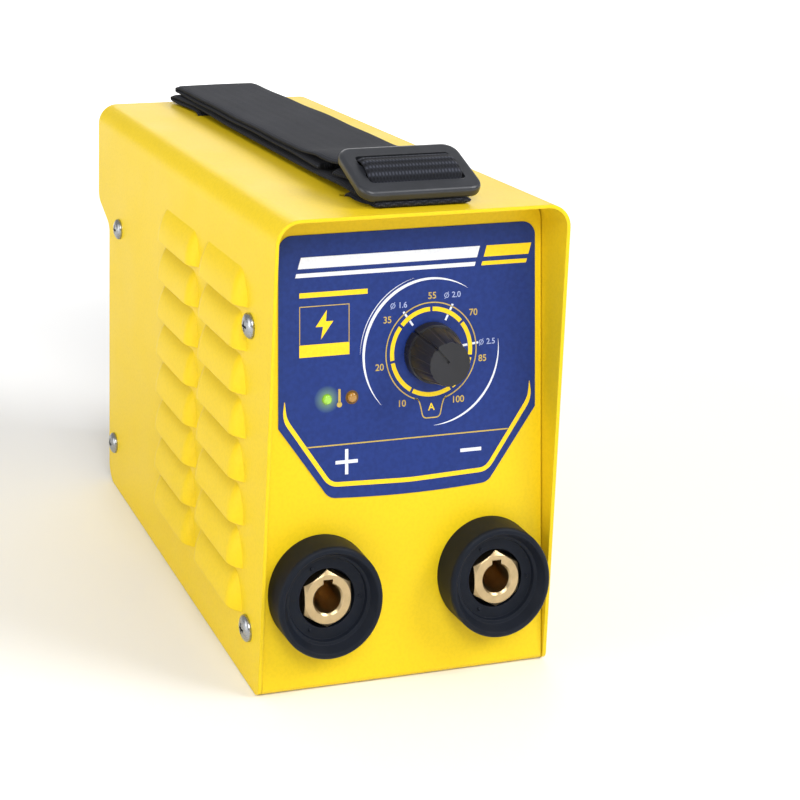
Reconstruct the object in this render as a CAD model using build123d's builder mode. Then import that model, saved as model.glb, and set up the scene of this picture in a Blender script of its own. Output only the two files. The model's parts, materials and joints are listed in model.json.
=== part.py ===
from build123d import *
from math import cos, radians, sin, tan
import os

os.makedirs("parts", exist_ok=True)

# Inverter stick welder. Millimetres, +Z up, the front faces -Y.
# The origin is the middle of the cover's footprint, at the height it stands on.

# ---- driving dimensions: the folded cover ----
body_width = 100.0
body_depth = 200.0
body_height = 153.0
sheet = 1.2
cover_bend = 8.0
front_lean = 15.3          # the front edge runs back this far from top to bottom
hood_overhang = 16.7       # the rear hood stands out this far past the sides
hood_drop = 39.7           # height of the rear hood, top to its lower edge
hood_slope = 7.8           # height of the sloping stretch under the hood
hood_corner = 5.0
front_foot_corner = 3.0
rear_foot_corner = 7.0
front_y = -body_depth / 2
rear_y = body_depth / 2
side_rear_y = rear_y - hood_overhang
hood_edge_z = body_height - hood_drop
hood_foot_z = hood_edge_z - hood_slope

# ---- chassis: base, front panel and rear panel from one sheet ----
panel_y = front_y + 15.5
rear_panel_y = side_rear_y - 1.8
chassis_half_width = body_width / 2 - sheet - 0.3
chassis_height = body_height - sheet - 0.6
fit = 0.1                  # what a hole is wider than what passes through it
chassis_bend = 2.4
tab_size = 14.0

# ---- louvres, two columns of eight on each side ----
louvre_length = 42.0
louvre_height = 11.5
louvre_depth = 3.6
louvre_end = 6.5
louvre_rows = 8
louvre_pitch = 14.2
louvre_top_z = 119.5
louvre_columns_y = (-55.0, -9.5)
column_lean = 5.0          # the lowest row sits this much further back than the top row

# ---- side screws: front pair, rear pair ----
screw_places = ((-78.2, 114.5), (-75.5, 17.4), (68.5, 107.5), (75.0, 17.4))
screw_head_radius = 4.0
screw_head_height = 2.3
screw_radius = 2.0
screw_length = 9.0
screw_rim = 0.5            # straight edge of the head, under its dome
cross_slot_length = 3.6
cross_slot_width = 0.8
cross_slot_depth = 1.3

# ---- front panel fittings ----
label_centre_x = 1.5
label_width = 89.3
label_top = 143.9
label_knee = 83.5
label_bottom = 60.3
label_foot = 55.2
label_thickness = 0.25
label_corner = 4.5
label_bow = 1.0            # the lower edge bows down this far in the middle
label_dial_hole = 7.6
dial_x = 9.2
dial_z = 104.0
light_z = 91.6
power_light_x = -26.8
overheat_light_x = -18.3
light_radius = 1.6
socket_x = 29.0
socket_z = 31.5
socket_bore = 4.55
neck_radius = 9.9          # the socket collar's neck, through the front panel

# ---- rear panel fittings ----
fan_size = 80.0
fan_depth = 25.0
fan_z = 56.0
fan_hole_spacing = 71.5
grille_hole_radius = 2.9
grille_ring_pitch = 8.1
grille_rings = 4
fan_back_y = rear_panel_y - sheet
fan_front_y = fan_back_y - fan_depth
switch_x = 21.0
switch_z = 121.0
switch_body_width = 22.0
switch_body_height = 28.0
gland_x = -28.0
gland_z = 124.0
gland_thread_radius = 7.9
cable_radius = 4.5

# ---- strap ----
strap_x = 2.0
strap_width = 37.0
strap_top = body_height + 7.4
strap_gap = 0.3
strap_slot_width = 3.8
strap_slots_y = (-74.0, 68.0)
strap_bar_z = 144.0
strap_bar_radius = 2.0
buckle_tilt = 25.0

knob_clear = 0.25
pot_bush_radius = 4.7
shaft_radius = 3.0
running_gap = 0.05


def across(y):
    """Upright plane across the machine at depth y, looking out of the front."""
    return Plane.XZ.offset(-y)


def lengthwise(x):
    """Upright plane along the machine at x."""
    return Plane.YZ.offset(x)


# ================================================================ cover
# A pressed scoop is part of a barrel lying along Y whose axis is inside the
# machine. Only its upper outer quarter is kept, so the lip is open below.
barrel_radius = (louvre_height**2 + louvre_depth**2) / (2 * louvre_depth)
barrel_axis = barrel_radius - louvre_depth
barrel_end = louvre_end / (1 - (barrel_axis / barrel_radius) ** 2) ** 0.5
barrel_straight = louvre_length / 2 - louvre_end


def barrel_quarter(radius, end):
    """Quarter of a barrel with elliptical ends, from its outermost line up to its top line."""
    with BuildPart() as quarter:
        with BuildSketch():
            with BuildLine():
                far_centre = (barrel_axis, barrel_straight)
                near_centre = (barrel_axis, -barrel_straight)
                far = EllipticalCenterArc(far_centre, radius, end, start_angle=90, arc_size=90)
                near = EllipticalCenterArc(near_centre, radius, end, start_angle=180, arc_size=90)
                Line(far @ 1, near @ 0)
                Line(near @ 1, far @ 0)
            make_face()
        revolve(axis=Axis((barrel_axis, 0, 0), (0, 1, 0)), revolution_arc=90)
    return quarter


louvre_outer = barrel_quarter(barrel_radius, barrel_end)
louvre_inner = barrel_quarter(barrel_radius - sheet, barrel_end - sheet)
louvre_places = [
    (-body_width / 2, column_y + column_lean * row / (louvre_rows - 1), louvre_top_z - louvre_pitch * row)
    for column_y in louvre_columns_y
    for row in range(louvre_rows)
]


def louvre_rows_on_both_sides(quarter, wall_depth):
    """Every louvre's share of one barrel shape, down to the given depth in the wall."""
    with BuildPart() as rows:
        with Locations(*louvre_places):
            add(quarter.part)
        with Locations((-body_width / 2 + wall_depth, 0, body_height / 2)):
            Box(
                4 * louvre_depth,
                body_depth,
                body_height,
                align=(Align.MAX, Align.CENTER, Align.CENTER),
                mode=Mode.INTERSECT,
            )
        mirror(about=Plane.YZ)
    return rows


scoops = louvre_rows_on_both_sides(louvre_outer, sheet / 2)
scoop_hollows = louvre_rows_on_both_sides(louvre_inner, sheet + 0.5)

with BuildPart() as cover:
    with BuildSketch(across(front_y)):
        RectangleRounded(body_width, 2 * body_height, cover_bend)
        RectangleRounded(
            body_width - 2 * sheet, 2 * (body_height - sheet), cover_bend - sheet, mode=Mode.SUBTRACT
        )
    extrude(amount=-body_depth)
    with BuildSketch(Plane.YZ) as side_view:
        with BuildLine():
            Polyline(
                (front_y, body_height),
                (front_y + front_lean, 0),
                (side_rear_y, 0),
                (side_rear_y, hood_foot_z),
                (rear_y, hood_edge_z),
                (rear_y, body_height),
                close=True,
            )
        make_face()
        for place, radius in (
            ((front_y + front_lean, 0), front_foot_corner),
            ((side_rear_y, 0), rear_foot_corner),
            ((side_rear_y, hood_foot_z), hood_corner),
            ((rear_y, hood_edge_z), hood_corner),
        ):
            fillet(side_view.vertices().sort_by_distance(place)[0], radius=radius)
    extrude(amount=body_width, both=True, mode=Mode.INTERSECT)
    add(scoops.part)
    add(scoop_hollows.part, mode=Mode.SUBTRACT)
    with BuildSketch(lengthwise(0)):
        with Locations(*screw_places):
            Circle(screw_radius + 0.2)
    extrude(amount=body_width, both=True, mode=Mode.SUBTRACT)
    with BuildSketch(Plane.XY.offset(body_height)):
        with Locations(*[(strap_x, slot_y) for slot_y in strap_slots_y]):
            SlotOverall(strap_width + 2, strap_slot_width)
    extrude(amount=-2 * sheet, mode=Mode.SUBTRACT)

# ================================================================ chassis
with BuildPart() as chassis:
    with BuildSketch(Plane.YZ) as bent_sheet:
        with BuildLine():
            Polyline(
                (panel_y, chassis_height), (panel_y, 0), (rear_panel_y, 0), (rear_panel_y, chassis_height)
            )
            offset(amount=sheet, side=Side.LEFT, kind=Kind.INTERSECTION)
        make_face()
    extrude(amount=chassis_half_width, both=True)
    bottom_edges = chassis.edges().filter_by(Axis.X).group_by(Axis.Z)[0]
    fillet(bottom_edges, radius=chassis_bend)
    inner_edges = chassis.edges().filter_by(Axis.X).filter_by_position(Axis.Z, sheet - 0.01, sheet + 0.01)
    fillet(inner_edges, radius=chassis_bend - sheet)
    top_corners = chassis.edges().filter_by(Axis.Y).group_by(Axis.Z)[-1]
    fillet(top_corners, radius=cover_bend - sheet)
    # tabs folded back from the panels, one behind each side screw
    for tab_y, tab_z in screw_places:
        wall_y = panel_y if tab_y < 0 else rear_panel_y
        far_y = tab_y + tab_size / 2 * (1 if tab_y < 0 else -1)
        for side in (-1, 1):
            with Locations((side * (chassis_half_width - sheet / 2), (wall_y + far_y) / 2, tab_z)):
                Box(sheet, abs(far_y - wall_y), tab_size)
    with BuildSketch(lengthwise(0)):
        with Locations(*screw_places):
            Circle(screw_radius)
    extrude(amount=body_width, both=True, mode=Mode.SUBTRACT)
    # front panel holes
    with BuildSketch(across(panel_y)):
        with Locations((-socket_x, socket_z), (socket_x, socket_z)):
            Circle(neck_radius + fit)
        with Locations((dial_x, dial_z)):
            Circle(pot_bush_radius + fit)
        with Locations((power_light_x, light_z), (overheat_light_x, light_z)):
            Circle(light_radius + fit)
    extrude(amount=-sheet, mode=Mode.SUBTRACT)
    # rear panel holes: fan grille, fan screws, switch and cable gland
    with BuildSketch(across(rear_panel_y)):
        with Locations((0, fan_z)):
            Circle(grille_hole_radius)
            for ring in range(1, grille_rings + 1):
                with PolarLocations(ring * grille_ring_pitch, 6 * ring):
                    Circle(grille_hole_radius)
            with GridLocations(fan_hole_spacing, fan_hole_spacing, 2, 2):
                Circle(screw_radius + 2 * fit)
        with Locations((switch_x, switch_z)):
            Rectangle(switch_body_width + 4 * fit, switch_body_height + 4 * fit)
        with Locations((gland_x, gland_z)):
            Circle(gland_thread_radius + 2 * fit)
    extrude(amount=sheet, mode=Mode.SUBTRACT)

# ================================================================ front label
with BuildPart() as front_label:
    with BuildSketch(across(panel_y)) as label_face:
        with BuildLine():
            left = label_centre_x - label_width / 2
            right = label_centre_x + label_width / 2
            foot_left = (label_centre_x - label_foot / 2, label_bottom)
            foot_right = (label_centre_x + label_foot / 2, label_bottom)
            Polyline(
                foot_left,
                (left, label_knee),
                (left, label_top),
                (right, label_top),
                (right, label_knee),
                foot_right,
            )
            ThreePointArc(foot_right, (label_centre_x, label_bottom - label_bow), foot_left)
        make_face()
        fillet(label_face.vertices().group_by(Axis.Y)[-1], radius=label_corner)
        fillet(label_face.vertices().group_by(Axis.Y)[0], radius=label_corner)
        with Locations((dial_x, dial_z)):
            Circle(label_dial_hole, mode=Mode.SUBTRACT)
        with Locations((power_light_x, light_z), (overheat_light_x, light_z)):
            Circle(light_radius + fit, mode=Mode.SUBTRACT)
    extrude(amount=label_thickness)

# ================================================================ side screws
with BuildPart() as pan_screw:
    with BuildSketch(Plane.XZ):
        with BuildLine():
            Polyline((0, screw_head_height), (0, 0), (screw_head_radius, 0), (screw_head_radius, screw_rim))
            EllipticalCenterArc((0, screw_rim), screw_head_radius, screw_head_height - screw_rim, arc_size=90)
        make_face()
    revolve(axis=Axis.Z)
    with BuildSketch():
        Circle(screw_radius)
    extrude(amount=-screw_length)
    with BuildSketch(Plane.XY.offset(screw_head_height)):
        Rectangle(cross_slot_length, cross_slot_width)
        Rectangle(cross_slot_width, cross_slot_length)
    extrude(amount=-cross_slot_depth, mode=Mode.SUBTRACT)

with BuildPart() as side_screws:
    for side in (-1, 1):
        faces = [Plane((side * body_width / 2, y, z), z_dir=(side, 0, 0)) for y, z in screw_places]
        with Locations(*faces):
            add(pan_screw.part)

# ================================================================ output sockets
collar_out = 9.2           # how far the collar stands out of the panel
collar_radius = 17.6
collar_floor = 5.2         # height of the floor round the brass insert
well_radius = 9.3          # narrow well between that floor and the insert
neck_depth = 4.0
insert_seat = 1.0
insert_face = 6.2
insert_flats = 15.5
bore_depth = 23.0
keyway_width = 3.2
keyway_depth = 9.0
stud_radius = 6.8
stud_end = 20.0
socket_bar = 2.0


def on_socket(shape, x):
    """Stands a piece modelled along +Z on the front panel at a socket, with +Z out of the front."""
    return Location(Plane((x, panel_y, socket_z), x_dir=(1, 0, 0), z_dir=(0, -1, 0))) * shape


with BuildPart() as collar:
    with BuildSketch(Plane.XZ) as half:
        with BuildLine():
            Polyline(
                (stud_radius + running_gap, -neck_depth),
                (neck_radius, -neck_depth),
                (neck_radius, 0),
                (collar_radius, 0),
                (collar_radius - 0.2, collar_out),
                (collar_radius - 2.0, collar_out),
                (collar_radius - 3.6, collar_floor + 1.4),
                (collar_radius - 4.5, collar_floor + 1.1),
                (collar_radius - 4.9, collar_floor),
                (well_radius, collar_floor),
                (well_radius, insert_seat),
                (stud_radius + running_gap, insert_seat),
                close=True,
            )
        make_face()
        fillet(half.vertices().sort_by_distance((collar_radius, collar_out))[0], radius=1.3)
        fillet(half.vertices().sort_by_distance((collar_radius - 2.0, collar_out))[0], radius=0.5)
    revolve(axis=Axis.Z)
    # three moulding pips on the floor
    with Locations((0, 0, collar_floor)):
        with PolarLocations(10.9, 3, start_angle=-2):
            Sphere(0.6)

with BuildPart() as insert:
    with BuildSketch(Plane.XY.offset(insert_seat)):
        RegularPolygon(insert_flats / 2, 6, major_radius=False, rotation=30)
    extrude(amount=insert_face - insert_seat)
    # the chamfer that turns the front of the hexagon into a circle
    with BuildSketch(Plane.XZ):
        with BuildLine():
            Polyline(
                (0, 0),
                (insert_flats, 0),
                (insert_flats, insert_seat),
                (insert_flats / 2 - 0.2, insert_face),
                (0, insert_face),
                close=True,
            )
        make_face()
    revolve(axis=Axis.Z, mode=Mode.INTERSECT)
    with BuildSketch(Plane.XY.offset(insert_seat)):
        Circle(stud_radius)
    extrude(amount=-insert_seat - stud_end)
    with BuildSketch(Plane.XY.offset(insert_face)):
        Circle(socket_bore)
    extrude(amount=-bore_depth, mode=Mode.SUBTRACT)
    mouth = insert.edges().filter_by(GeomType.CIRCLE).group_by(Axis.Z)[-1].sort_by(SortBy.RADIUS)[0]
    chamfer(mouth, length=0.6)
    # keyway that the lug of the cable plug slides down
    with BuildSketch(Plane.XY.offset(insert_face)):
        with Locations((0, socket_bore - 1.4)):
            Rectangle(keyway_width, 2 * keyway_width - 0.4)
    extrude(amount=-keyway_depth, mode=Mode.SUBTRACT)

with BuildPart() as socket_washers:
    for x in (-socket_x, socket_x):
        with BuildSketch(across(panel_y + sheet)):
            with Locations((x, socket_z)):
                Circle(15)
                Circle(neck_radius + fit, mode=Mode.SUBTRACT)
        extrude(amount=sheet - neck_depth)

with BuildPart() as socket_nuts:
    for x in (-socket_x, socket_x):
        with BuildSketch(across(panel_y + neck_depth + socket_bar)):
            with Locations((x, socket_z)):
                RegularPolygon(10.5, 6, major_radius=False)
                Circle(stud_radius, mode=Mode.SUBTRACT)
        extrude(amount=-6)

# flat bars from the sockets up and back to the heatsinks
bar_top_z = 66.0
bar_end_y = -22.0
bar_width = 13.0


def bus_bar(x):
    """Flat bar clamped on one socket stud, bent back over the heatsink."""
    bar_y = panel_y + neck_depth
    with BuildPart() as bar:
        with BuildSketch(Plane.YZ.offset(x)):
            with BuildLine():
                Polyline((bar_y, socket_z - 9), (bar_y, bar_top_z), (bar_end_y, bar_top_z))
                offset(amount=socket_bar, side=Side.RIGHT, kind=Kind.INTERSECTION)
            make_face()
        extrude(amount=bar_width / 2, both=True)
        with BuildSketch(across(bar_y)):
            with Locations((x, socket_z)):
                Circle(stud_radius + 2.6)
        extrude(amount=-socket_bar)
        with BuildSketch(across(bar_y)):
            with Locations((x, socket_z)):
                Circle(stud_radius + running_gap)
        extrude(amount=-socket_bar, mode=Mode.SUBTRACT)
        with BuildSketch(Plane.XY.offset(bar_top_z)):
            with Locations((x, bar_end_y - 5)):
                Circle(2.1)
        extrude(amount=-socket_bar, mode=Mode.SUBTRACT)
    return bar


positive_bar = bus_bar(-socket_x)
negative_bar = bus_bar(socket_x)

# ================================================================ current knob and its potentiometer
knob_base_radius = 9.6
knob_tip_radius = 6.9
knob_length = 12.2
knob_skirt = 2.8
pointer_angle = 132.0      # direction of the pointer line at rest, from +X
pointer_width = 0.9
pointer_depth = 0.6
flute_count = 14
shaft_end = 2.0            # thickness of the knob's face over the end of the shaft


def on_dial(out):
    """Plane on the dial's axis, standing the given distance out of the front panel."""
    return Plane((dial_x, panel_y - out, dial_z), x_dir=(1, 0, 0), z_dir=(0, -1, 0))


def fluted_circle(radius):
    """Circle with shallow scallops round its edge, for gripping."""
    Circle(radius)
    with PolarLocations(radius * 1.12, flute_count):
        Circle(radius * 0.15, mode=Mode.SUBTRACT)


knob_bottom = label_thickness + knob_clear
with BuildPart() as current_knob:
    with BuildSketch(on_dial(knob_bottom)):
        Circle(knob_base_radius)
    extrude(amount=knob_skirt, taper=4)
    with BuildSketch(on_dial(knob_bottom + knob_skirt)):
        fluted_circle(8.9)
    with BuildSketch(on_dial(knob_bottom + knob_length)):
        fluted_circle(knob_tip_radius)
    loft()
    # pointer groove over the face and down the side
    knob_face = knob_bottom + knob_length
    pointer = Plane(
        (dial_x, panel_y, dial_z),
        x_dir=(cos(radians(pointer_angle)), 0, sin(radians(pointer_angle))),
        z_dir=(sin(radians(pointer_angle)), 0, -cos(radians(pointer_angle))),
    )
    with BuildSketch(pointer):
        with BuildLine():
            Polyline(
                (pointer_depth, knob_face + 1),
                (pointer_depth, knob_face - pointer_depth),
                (knob_tip_radius - 1.6 * pointer_depth, knob_face - pointer_depth),
                (knob_base_radius - 2 * pointer_depth, knob_bottom + knob_skirt),
                (knob_base_radius - pointer_depth, knob_bottom),
                (knob_base_radius + 1, knob_bottom),
                (knob_base_radius + 1, knob_face + 1),
                close=True,
            )
        make_face()
    extrude(amount=pointer_width / 2, both=True, mode=Mode.SUBTRACT)
    # hollow underneath for the nut, and the shaft's bore
    with BuildSketch(on_dial(knob_bottom)):
        Circle(knob_base_radius - 2)
    extrude(amount=knob_skirt - 0.2, mode=Mode.SUBTRACT)
    with BuildSketch(on_dial(knob_bottom)):
        Circle(shaft_radius)
    extrude(amount=knob_length - shaft_end, mode=Mode.SUBTRACT)

pot_body_y = panel_y + sheet
pot_body_depth = 8.5
with BuildPart() as potentiometer:
    with BuildSketch(across(pot_body_y)):
        with Locations((dial_x, dial_z)):
            Circle(8.5)
            with Locations((0, -8)):
                Rectangle(13, 7)
    extrude(amount=-pot_body_depth)
    with BuildSketch(on_dial(-sheet)):
        Circle(pot_bush_radius)
    extrude(amount=sheet + 2.4)
    with BuildSketch(on_dial(2.4)):
        Circle(shaft_radius + running_gap)
    extrude(amount=-(sheet + 2.4 + 5), mode=Mode.SUBTRACT)

with BuildPart() as knob_shaft:
    with BuildSketch(on_dial(knob_face - shaft_end)):
        Circle(shaft_radius)
    extrude(amount=-(knob_face - shaft_end + sheet + 4.5))

with BuildPart() as potentiometer_nut:
    with BuildSketch(on_dial(0)):
        RegularPolygon(6.3, 6, major_radius=False)
        Circle(pot_bush_radius, mode=Mode.SUBTRACT)
    extrude(amount=1.9)

# ================================================================ control board and its lights
control_board_y = pot_body_y + pot_body_depth
control_board_centre = (-5.0, 106.0)
control_board_width = 72.0
control_board_height = 48.0
board_thickness = 1.6
with BuildPart() as control_board:
    with BuildSketch(across(control_board_y)):
        with Locations(control_board_centre):
            RectangleRounded(control_board_width, control_board_height, 1.5)
    extrude(amount=-board_thickness)


def indicator_light(x):
    """Small light: a round-nosed lens in the panel on a longer body that stands on the control board."""
    lens_out = 1.3
    flange_y = panel_y + sheet + 0.3
    with BuildPart() as light:
        with BuildSketch(across(control_board_y)):
            with Locations((x, light_z)):
                Circle(light_radius + 0.5)
        extrude(amount=control_board_y - flange_y)
        with BuildSketch(across(flange_y)):
            with Locations((x, light_z)):
                Circle(light_radius)
        extrude(amount=flange_y - panel_y + lens_out)
        fillet(light.edges().group_by(Axis.Y)[0], radius=0.9)
    return light


power_light = indicator_light(power_light_x)
overheat_light = indicator_light(overheat_light_x)

# ================================================================ power board and what stands on it
board_z = 13.2
board_top = board_z + board_thickness
board_front_y = -58.0
board_back_y = 50.0
board_centre_y = (board_front_y + board_back_y) / 2
board_width = 88.0
standoff_screw_radius = 1.5
standoff_screw_depth = 7.0
standoff_places = [(x, y) for x in (-39, 39) for y in (board_front_y + 5, board_back_y - 5)]

with BuildPart() as power_board:
    with BuildSketch(Plane.XY.offset(board_z)):
        with Locations((0, board_centre_y)):
            RectangleRounded(board_width, board_back_y - board_front_y, 2)
        with Locations(*standoff_places):
            Circle(standoff_screw_radius + fit, mode=Mode.SUBTRACT)
    extrude(amount=board_thickness)

with BuildPart() as board_standoffs:
    with BuildSketch(Plane.XY.offset(sheet)):
        with Locations(*standoff_places):
            RegularPolygon(3.2, 6)
    extrude(amount=board_z - sheet)
    with BuildSketch(Plane.XY.offset(board_z)):
        with Locations(*standoff_places):
            Circle(standoff_screw_radius)
    extrude(amount=-standoff_screw_depth, mode=Mode.SUBTRACT)

with BuildPart() as board_screws:
    with BuildSketch(Plane.XY.offset(board_top)):
        with Locations(*standoff_places):
            Circle(2.8)
    extrude(amount=2)
    with BuildSketch(Plane.XY.offset(board_top)):
        with Locations(*standoff_places):
            Circle(standoff_screw_radius)
    extrude(amount=-standoff_screw_depth)

heatsink_top = bar_top_z - socket_bar
heatsink_front = -34.0
heatsink_back = 46.0
heatsink_wall_x = 22.0
heatsink_wall = 5.0
fin_reach = 16.0
fin_thickness = 2.0
fin_count = 10
heatsink_foot = 3.0
bar_screw_radius = 2.0
bar_screw_setback = 5.0      # from the bus bar's end to its screw


def heatsink(side):
    """Finned block with its flat wall towards the middle of the machine."""
    low_z = board_top + heatsink_foot
    fin_pitch = (heatsink_top - low_z - fin_thickness) / (fin_count - 1)
    with BuildPart() as sink:
        with BuildSketch(across(heatsink_front)):
            with Locations((side * (heatsink_wall_x + heatsink_wall / 2), (low_z + heatsink_top) / 2)):
                Rectangle(heatsink_wall, heatsink_top - low_z)
            fin_centre = side * (heatsink_wall_x + heatsink_wall + fin_reach / 2)
            with Locations((fin_centre, (low_z + heatsink_top) / 2)):
                with GridLocations(1, fin_pitch, 1, fin_count):
                    Rectangle(fin_reach, fin_thickness)
        extrude(amount=heatsink_front - heatsink_back)
        # two feet down to the board
        for foot_y in (heatsink_front + 8, heatsink_back - 16):
            foot_x = side * (heatsink_wall_x + heatsink_wall / 2)
            with Locations((foot_x, foot_y, board_top + heatsink_foot / 2)):
                Box(heatsink_wall, 8, heatsink_foot)
        # hole for the bus bar's screw
        with BuildSketch(Plane.XY.offset(heatsink_top)):
            with Locations((side * socket_x, bar_end_y - bar_screw_setback)):
                Circle(bar_screw_radius)
        extrude(amount=-8, mode=Mode.SUBTRACT)
    return sink


heatsink_left = heatsink(-1)
heatsink_right = heatsink(1)

with BuildPart() as bus_bar_screws:
    for x in (-socket_x, socket_x):
        with BuildSketch(Plane.XY.offset(bar_top_z)):
            with Locations((x, bar_end_y - bar_screw_setback)):
                Circle(bar_screw_radius + 1.8)
        extrude(amount=2.4)
        with BuildSketch(Plane.XY.offset(bar_top_z)):
            with Locations((x, bar_end_y - bar_screw_setback)):
                Circle(bar_screw_radius)
        extrude(amount=-9)


package_width = 15.5
package_height = 20.0
package_thickness = 5.0
package_low_z = 34.0
package_pitch = 19.0
package_row_y = 6.0
leg_pitch = 5.0


def transistor_row(side):
    """Four power packages standing on the board against a heatsink's wall, each on three legs."""
    row_x = side * (heatsink_wall_x - package_thickness / 2)
    with BuildPart() as row:
        with Locations((row_x, package_row_y, package_low_z + package_height / 2)):
            with GridLocations(1, package_pitch, 1, 4):
                Box(package_thickness, package_width, package_height)
        with Locations((row_x, package_row_y, (package_low_z + board_top) / 2)):
            with GridLocations(1, package_pitch, 1, 4):
                with GridLocations(1, leg_pitch, 1, 3):
                    Box(0.8, 1.2, package_low_z - board_top)
    return row


power_transistors = transistor_row(-1)
output_rectifiers = transistor_row(1)

capacitor_radius = 10.5
capacitor_height = 38.0
capacitor_pitch = 27.0
capacitor_y = -46.0
with BuildPart() as bulk_capacitors:
    with BuildSketch(Plane.XY.offset(board_top)):
        with Locations((0, capacitor_y)):
            with GridLocations(capacitor_pitch, 1, 3, 1):
                Circle(capacitor_radius)
    extrude(amount=capacitor_height)
    fillet(bulk_capacitors.edges().group_by(Axis.Z)[-1], radius=1.2)

# transformer: two E halves as one core round a bobbin's winding
core_y = -8.0
core_size = 42.0
core_thickness = 14.0
core_window_width = 8.0
core_window_height = 28.0
core_window_y = 12.5
core_lift = 24.0             # middle of the core above the board
with BuildPart() as transformer_core:
    with BuildSketch(lengthwise(-core_thickness / 2)):
        with Locations((core_y, board_top + core_lift)):
            Rectangle(core_size, core_size)
            with Locations((-core_window_y, 0), (core_window_y, 0)):
                Rectangle(core_window_width, core_window_height, mode=Mode.SUBTRACT)
    extrude(amount=core_thickness)

with BuildPart() as transformer_winding:
    with BuildSketch(Plane.XY.offset(board_top + core_lift / 2)):
        with Locations((0, core_y)):
            RectangleRounded(2 * core_thickness, 31.5, 4)
            Rectangle(core_thickness + 0.6, 17.6, mode=Mode.SUBTRACT)
    extrude(amount=core_lift)

choke_y = 34.0
choke_z = board_top + 19.0
choke_radius = 14.0
choke_hole = 8.0
choke_thickness = 12.0
with BuildPart() as choke_core:
    with BuildSketch(across(choke_y - choke_thickness / 2)):
        with Locations((0, choke_z)):
            Circle(choke_radius)
            Circle(choke_hole, mode=Mode.SUBTRACT)
    extrude(amount=-choke_thickness)

with BuildPart() as choke_winding:
    # twelve square turns round the ring
    with Locations(Plane((0, choke_y, choke_z), x_dir=(1, 0, 0), z_dir=(0, -1, 0))):
        with PolarLocations((choke_radius + choke_hole) / 2, 12):
            Box(9.4, 3.4, choke_thickness + 4)
            Box(6.8, 3.6, choke_thickness + 0.4, mode=Mode.SUBTRACT)

rectifier_y = 16.5
rectifier_height = 20.0
rectifier_legs = 4.0
with BuildPart() as input_rectifier:
    with Locations((0, rectifier_y, board_top + rectifier_legs + rectifier_height / 2)):
        Box(24, 4, rectifier_height)
    with Locations((0, rectifier_y, board_top + rectifier_legs / 2)):
        with GridLocations(6, 1, 4, 1):
            Box(1.2, 0.9, rectifier_legs)

# ================================================================ fan
duct_radius = 38.2
hub_radius = 16.0
rotor_radius = 37.2
hub_front_y = fan_front_y + 1.5
motor_plate = 3.5
fan_shaft_radius = 1.5
fan_back_gap = 1.0


def fan_plane(y):
    """Plane on the fan's axis at depth y, facing the front."""
    return Plane((0, y, fan_z), x_dir=(1, 0, 0), z_dir=(0, -1, 0))


with BuildPart() as fan_frame:
    with BuildSketch(fan_plane(fan_front_y)):
        RectangleRounded(fan_size, fan_size, 5)
        Circle(duct_radius, mode=Mode.SUBTRACT)
    extrude(amount=-fan_depth)
    # the frame is only two flanges with a round wall between them
    with BuildSketch(fan_plane(fan_front_y + 3.5)):
        Rectangle(fan_size + 2, fan_size + 2)
        Circle(duct_radius + 1.7, mode=Mode.SUBTRACT)
    extrude(amount=-(fan_depth - 7), mode=Mode.SUBTRACT)
    # motor plate on four struts at the back
    with BuildSketch(fan_plane(fan_back_y - motor_plate)):
        Circle(hub_radius + 1)
        with PolarLocations(0, 4, start_angle=45):
            with Locations((duct_radius / 2 + 0.5, 0)):
                Rectangle(duct_radius + 1, 4)
        Circle(fan_shaft_radius + running_gap, mode=Mode.SUBTRACT)
    extrude(amount=-motor_plate)
    with BuildSketch(fan_plane(fan_front_y)):
        with GridLocations(fan_hole_spacing, fan_hole_spacing, 2, 2):
            Circle(2.1)
    extrude(amount=-fan_depth, mode=Mode.SUBTRACT)

blade_front = hub_front_y + 1.0
blade_back = fan_back_y - motor_plate - fan_back_gap
blade_depth = blade_back - blade_front
with BuildPart() as fan_rotor:
    with BuildSketch(fan_plane(hub_front_y)):
        Circle(hub_radius)
    extrude(amount=-(blade_back - hub_front_y))
    fillet(fan_rotor.edges().group_by(Axis.Y)[0], radius=1.5)
    # seven twisted blades, cut to a round outline
    for blade in range(7):
        turn = 360 * blade / 7
        root = Plane(
            (0, (blade_front + blade_back) / 2, fan_z),
            x_dir=(0, 1, 0),
            z_dir=(cos(radians(turn)), 0, sin(radians(turn))),
        )
        with BuildSketch(root.offset(hub_radius - 3)):
            Rectangle(blade_depth - 3, 1.6, rotation=48)
        with BuildSketch(root.offset(rotor_radius + 1)):
            Rectangle(blade_depth * 1.25, 1.4, rotation=62)
        loft()
    with BuildSketch(fan_plane(hub_front_y)):
        Circle(rotor_radius)
    extrude(amount=-(blade_back - hub_front_y), mode=Mode.INTERSECT)
    with BuildSketch(fan_plane(blade_back)):
        Circle(hub_radius - 1.5)
        Circle(4, mode=Mode.SUBTRACT)
    extrude(amount=13, mode=Mode.SUBTRACT)
    with BuildSketch(fan_plane(blade_back)):
        Circle(fan_shaft_radius)
    extrude(amount=14, mode=Mode.SUBTRACT)

with BuildPart() as fan_shaft:
    with BuildSketch(fan_plane(fan_back_y - 0.5)):
        Circle(fan_shaft_radius)
    extrude(amount=fan_back_y - 0.5 - blade_back + 14)

with BuildPart() as fan_screws:
    for x in (-fan_hole_spacing / 2, fan_hole_spacing / 2):
        for z in (fan_z - fan_hole_spacing / 2, fan_z + fan_hole_spacing / 2):
            with Locations(Plane((x, rear_panel_y, z), z_dir=(0, 1, 0))):
                add(pan_screw.part)

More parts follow.
